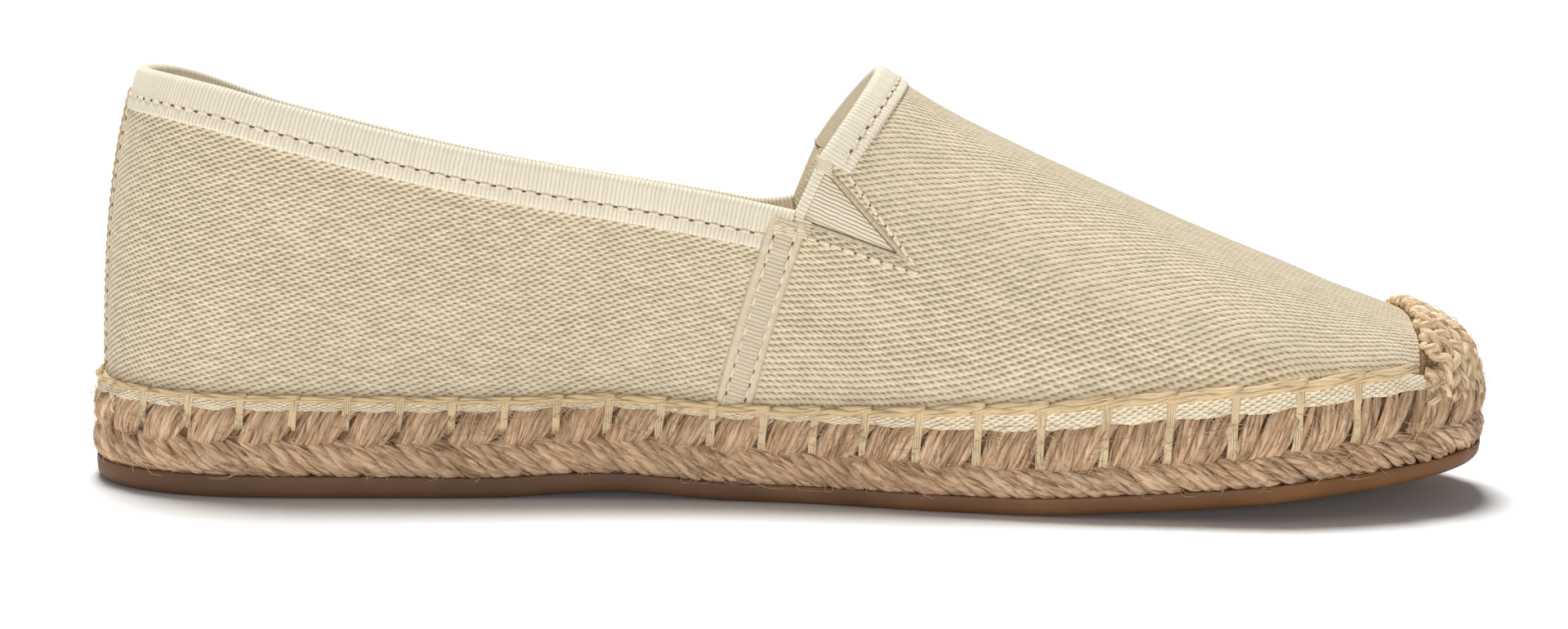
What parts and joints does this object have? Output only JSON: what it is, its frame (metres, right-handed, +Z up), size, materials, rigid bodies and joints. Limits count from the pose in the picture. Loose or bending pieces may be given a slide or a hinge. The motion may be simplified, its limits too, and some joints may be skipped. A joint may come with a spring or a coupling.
{
  "type": "espadrille",
  "caption": "Low canvas slip-on espadrille for the left foot with a braided jute sole, elastic side gores, a knitted jute toe cover and a thin rubber outsole.",
  "frame": {"origin": "centre of the footprint box, on the floor that the sole stands on", "axes": "+X towards the toe, +Y towards the lateral (outer) side, +Z up"},
  "size_m": [0.2614, 0.0886, 0.0777],
  "materials": {
    "canvas": "coarse natural cotton canvas, matte",
    "binding": "ribbed grosgrain tape, matte",
    "elastic": "ribbed elastic webbing, matte",
    "thread": "waxed cotton thread",
    "jute": "plied jute yarn, fibrous",
    "knitted_jute": "knitted jute yarn, fibrous",
    "lining": "plain cotton, matte",
    "rubber": "brown gum rubber, satin"
  },
  "bodies": {
    "root": {"outsole": "rubber", "jute_sole": "jute", "insole": "lining", "upper": "canvas", "toe_cover": "knitted_jute", "gore_medial": "elastic", "gore_lateral": "elastic"}
  },
  "joints": []
}
